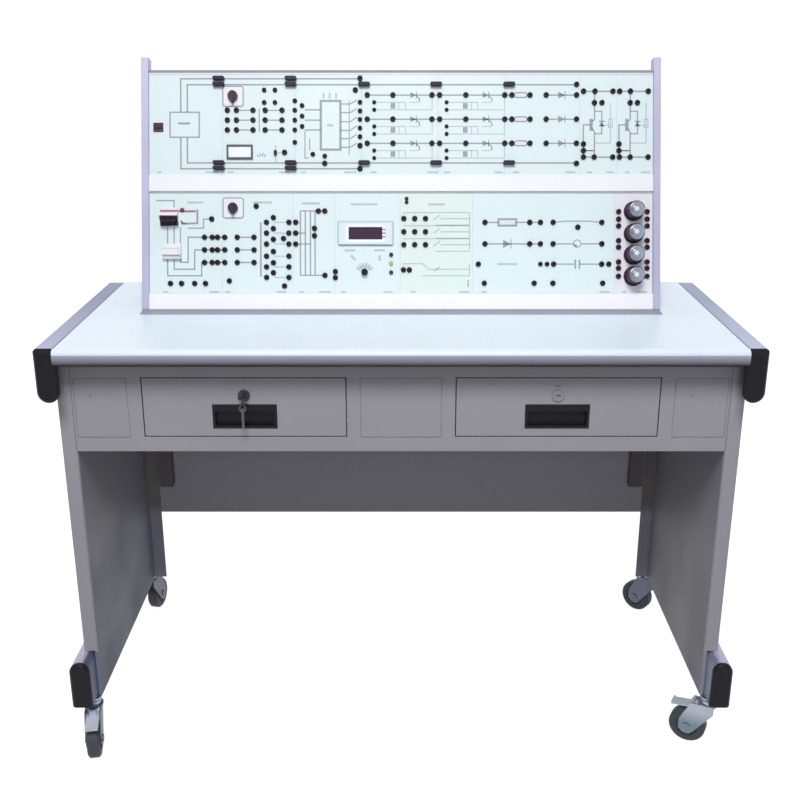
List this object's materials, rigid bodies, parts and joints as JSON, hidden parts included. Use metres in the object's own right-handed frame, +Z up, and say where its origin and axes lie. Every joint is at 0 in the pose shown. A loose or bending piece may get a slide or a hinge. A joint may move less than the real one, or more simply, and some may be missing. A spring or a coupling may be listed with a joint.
{
  "type": "power electronics trainer",
  "caption": "Wheeled steel laboratory bench with two drawers and a leaning console of socketed circuit panels, knobs and meters.",
  "frame": {"origin": "centre of the overall footprint, on the floor under the casters", "axes": "+X to the right as seen by the user, +Y towards the rear, +Z up"},
  "size_m": [1.4, 0.7266, 1.4368],
  "materials": {
    "laminate": "satin pale blue-white laminate on fibreboard",
    "rail_aluminium": "satin anodised",
    "black_plastic": "matte",
    "grey_paint": "satin powder coat",
    "zinc_steel": "bright zinc",
    "caster_rubber": "matte",
    "white_rail": "satin",
    "mint_panel": "satin",
    "circuit_board": "satin",
    "white_plastic": "gloss",
    "grey_knob": "satin",
    "rheostat_ceramic": "matte",
    "grey_plastic": "satin",
    "dark_glass": "gloss",
    "lamp_plastic": "gloss",
    "red_plastic": "gloss"
  },
  "bodies": {
    "frame": {"apron": "grey_paint", "apron_fillers": "grey_paint", "breaker_body": "white_plastic", "caster_stems": "zinc_steel", "console_boards": "circuit_board", "console_cover": "white_rail", "console_rail_bottom": "white_rail", "console_rail_middle": "white_rail", "console_rail_top": "white_rail", "console_side_left": "rail_aluminium", "console_side_right": "rail_aluminium", "contactor": "white_plastic", "cover_screws": "zinc_steel", "display_frames": "grey_plastic", "display_windows": "dark_glass", "drawer_case": "grey_paint", "drawer_runners": "zinc_steel", "foot_rail_left": "rail_aluminium", "foot_rail_right": "rail_aluminium", "lamps": "lamp_plastic", "leg_left": "grey_paint", "leg_right": "grey_paint", "link_plugs": "black_plastic", "lower_modules": "mint_panel", "modesty_panel": "grey_paint", "rail_end_caps": "black_plastic", "rheostat_bodies": "rheostat_ceramic", "side_rail_left": "rail_aluminium", "side_rail_right": "rail_aluminium", "sockets": "black_plastic", "switch_plates": "white_plastic", "tabletop": "laminate", "upper_modules": "mint_panel"},
    "drawer_left": {"drawer_left": "grey_paint", "pull_left": "black_plastic"},
    "lock_left": {"lock_left": "zinc_steel", "lock_key": "zinc_steel"},
    "drawer_right": {"drawer_right": "grey_paint", "pull_right": "black_plastic"},
    "lock_right": {"lock_right": "zinc_steel"},
    "swivel_front_left": {"fork_front_left": "zinc_steel"},
    "roller_front_left": {"wheel_front_left": "caster_rubber"},
    "brake_front_left": {"pedal_front_left": "zinc_steel"},
    "swivel_front_right": {"fork_front_right": "zinc_steel"},
    "roller_front_right": {"wheel_front_right": "caster_rubber"},
    "brake_front_right": {"pedal_front_right": "zinc_steel"},
    "swivel_rear_left": {"fork_rear_left": "zinc_steel"},
    "roller_rear_left": {"wheel_rear_left": "caster_rubber"},
    "swivel_rear_right": {"fork_rear_right": "zinc_steel"},
    "roller_rear_right": {"wheel_rear_right": "caster_rubber"},
    "selector_upper": {"switch_knob_upper": "black_plastic"},
    "selector_lower": {"switch_knob_lower": "black_plastic"},
    "rheostat_1": {"rheostat_knob_1": "grey_knob"},
    "rheostat_2": {"rheostat_knob_2": "grey_knob"},
    "rheostat_3": {"rheostat_knob_3": "grey_knob"},
    "rheostat_4": {"rheostat_knob_4": "grey_knob"},
    "dial": {"dial_knob": "black_plastic"},
    "breaker_levers": {"breaker_toggle": "black_plastic"},
    "rocker": {"rocker_button": "red_plastic"},
    "slider": {"slider_knob": "black_plastic"}
  },
  "joints": [
    {"name": "drawer_slide_left", "type": "slide", "parent": "frame", "child": "drawer_left", "axis": [0, -1, 0], "range_m": [0, 0.35]},
    {"name": "lock_turn_left", "type": "hinge", "parent": "drawer_left", "child": "lock_left", "pos_m": [-0.31, -0.28, 0.811], "axis": [0, -1, 0], "range_deg": [0, 90]},
    {"name": "drawer_slide_right", "type": "slide", "parent": "frame", "child": "drawer_right", "axis": [0, -1, 0], "range_m": [0, 0.35]},
    {"name": "lock_turn_right", "type": "hinge", "parent": "drawer_right", "child": "lock_right", "pos_m": [0.31, -0.28, 0.811], "axis": [0, -1, 0], "range_deg": [0, 90]},
    {"name": "swivel_turn_front_left", "type": "hinge", "parent": "frame", "child": "swivel_front_left", "pos_m": [-0.671, -0.283, 0.1], "axis": [0, 0, 1], "continuous": true},
    {"name": "wheel_roll_front_left", "type": "hinge", "parent": "swivel_front_left", "child": "roller_front_left", "pos_m": [-0.66405, -0.32239, 0.04], "axis": [-0.9848, -0.1736, 0], "continuous": true},
    {"name": "brake_press_front_left", "type": "hinge", "parent": "swivel_front_left", "child": "brake_front_left", "pos_m": [-0.66857, -0.29679, 0.093], "axis": [0.9848, 0.1736, 0], "range_deg": [0, 8]},
    {"name": "swivel_turn_front_right", "type": "hinge", "parent": "frame", "child": "swivel_front_right", "pos_m": [0.671, -0.283, 0.1], "axis": [0, 0, 1], "continuous": true},
    {"name": "wheel_roll_front_right", "type": "hinge", "parent": "swivel_front_right", "child": "roller_front_right", "pos_m": [0.63568, -0.26422, 0.04], "axis": [0.4695, 0.8829, 0], "continuous": true},
    {"name": "brake_press_front_right", "type": "hinge", "parent": "swivel_front_right", "child": "brake_front_right", "pos_m": [0.65864, -0.27643, 0.093], "axis": [-0.4695, -0.8829, 0], "range_deg": [0, 8]},
    {"name": "swivel_turn_rear_left", "type": "hinge", "parent": "frame", "child": "swivel_rear_left", "pos_m": [-0.671, 0.283, 0.1], "axis": [0, 0, 1], "continuous": true},
    {"name": "wheel_roll_rear_left", "type": "hinge", "parent": "swivel_rear_left", "child": "roller_rear_left", "pos_m": [-0.66405, 0.32239, 0.04], "axis": [0.9848, -0.1736, 0], "continuous": true},
    {"name": "swivel_turn_rear_right", "type": "hinge", "parent": "frame", "child": "swivel_rear_right", "pos_m": [0.671, 0.283, 0.1], "axis": [0, 0, 1], "continuous": true},
    {"name": "wheel_roll_rear_right", "type": "hinge", "parent": "swivel_rear_right", "child": "roller_rear_right", "pos_m": [0.64127, 0.30977, 0.04], "axis": [0.6691, 0.7431, 0], "continuous": true},
    {"name": "selector_turn_upper", "type": "hinge", "parent": "frame", "child": "selector_upper", "pos_m": [-0.36, 0.09814, 1.35841], "axis": [0, -0.95, 0.3123], "range_deg": [-90, 90]},
    {"name": "selector_turn_lower", "type": "hinge", "parent": "frame", "child": "selector_lower", "pos_m": [-0.36, 0.02365, 1.13184], "axis": [0, -0.95, 0.3123], "range_deg": [-90, 90]},
    {"name": "rheostat_turn_1", "type": "hinge", "parent": "frame", "child": "rheostat_1", "pos_m": [0.4985, 0.02146, 1.12519], "axis": [0, -0.95, 0.3123], "range_deg": [-150, 150]},
    {"name": "rheostat_turn_2", "type": "hinge", "parent": "frame", "child": "rheostat_2", "pos_m": [0.4985, 0.00647, 1.0796], "axis": [0, -0.95, 0.3123], "range_deg": [-150, 150]},
    {"name": "rheostat_turn_3", "type": "hinge", "parent": "frame", "child": "rheostat_3", "pos_m": [0.4985, -0.00774, 1.03637], "axis": [0, -0.95, 0.3123], "range_deg": [-150, 150]},
    {"name": "rheostat_turn_4", "type": "hinge", "parent": "frame", "child": "rheostat_4", "pos_m": [0.4985, -0.02195, 0.99315], "axis": [0, -0.95, 0.3123], "range_deg": [-150, 150]},
    {"name": "dial_turn", "type": "hinge", "parent": "frame", "child": "dial", "pos_m": [-0.0782, -0.01926, 1.00132], "axis": [0, -0.95, 0.3123], "range_deg": [-135, 135]},
    {"name": "breaker_throw", "type": "hinge", "parent": "frame", "child": "breaker_levers", "pos_m": [-0.496, 0.01265, 1.11441], "axis": [-1, 0, 0], "range_deg": [0, 70]},
    {"name": "rocker_tilt", "type": "hinge", "parent": "frame", "child": "rocker", "pos_m": [-0.52, 0.08019, 1.29484], "axis": [1, 0, 0], "range_deg": [0, 8]},
    {"name": "slider_move", "type": "slide", "parent": "frame", "child": "slider", "axis": [0, 0.3123, 0.95], "range_m": [-0.012, 0.012]}
  ]
}
